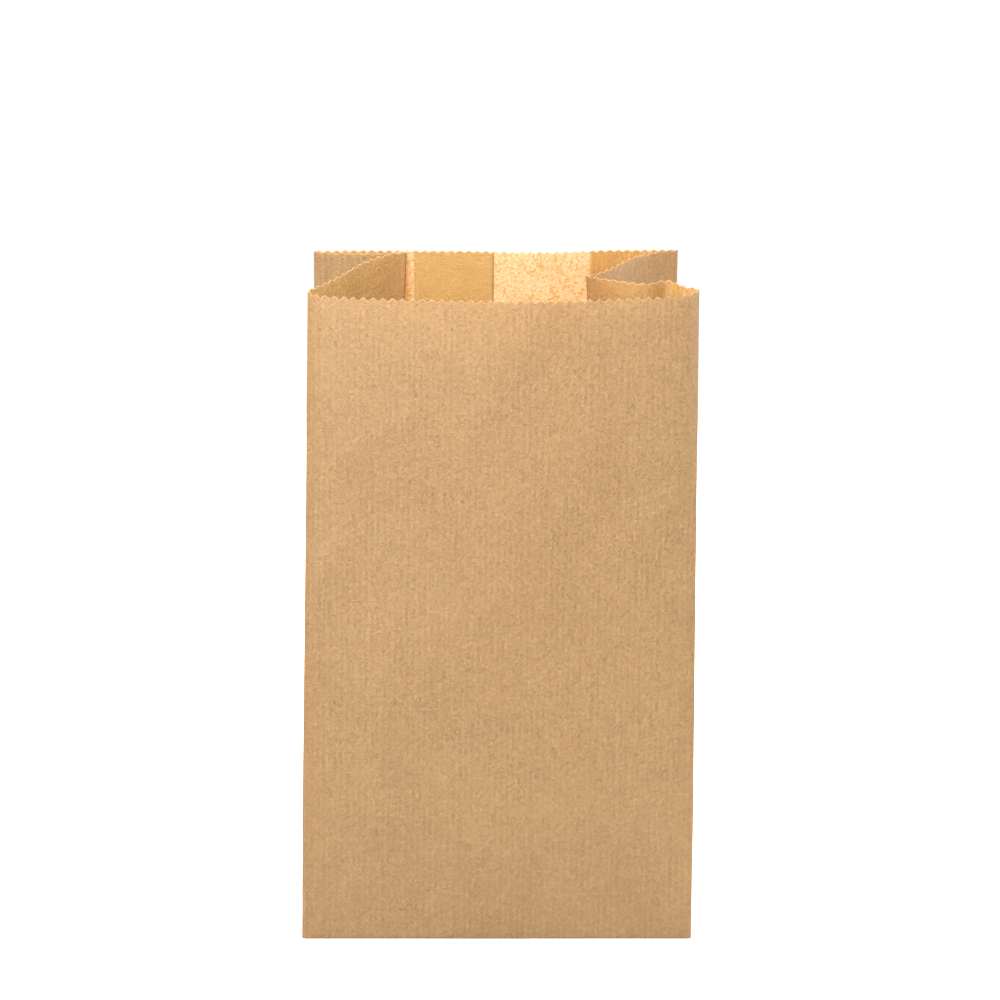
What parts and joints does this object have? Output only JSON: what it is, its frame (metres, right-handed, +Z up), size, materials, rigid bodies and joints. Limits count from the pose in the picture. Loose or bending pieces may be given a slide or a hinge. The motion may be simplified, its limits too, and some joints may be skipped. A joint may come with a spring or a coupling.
{
  "type": "brown paper lunch bag",
  "caption": "Half-open brown kraft paper lunch bag with folded side gussets, flat block bottom, lapped back seam and a pinked zigzag mouth.",
  "frame": {"origin": "centre of the bag's box, on the underside of its flat bottom", "axes": "+Z up out of the mouth, -Y out of the front panel, +X to the front panel's right"},
  "size_m": [0.1626, 0.1008, 0.27],
  "materials": {
    "kraft_paper": "matt brown machine-ribbed kraft paper"
  },
  "bodies": {
    "root": {"paper_bag": "kraft_paper"}
  },
  "joints": []
}
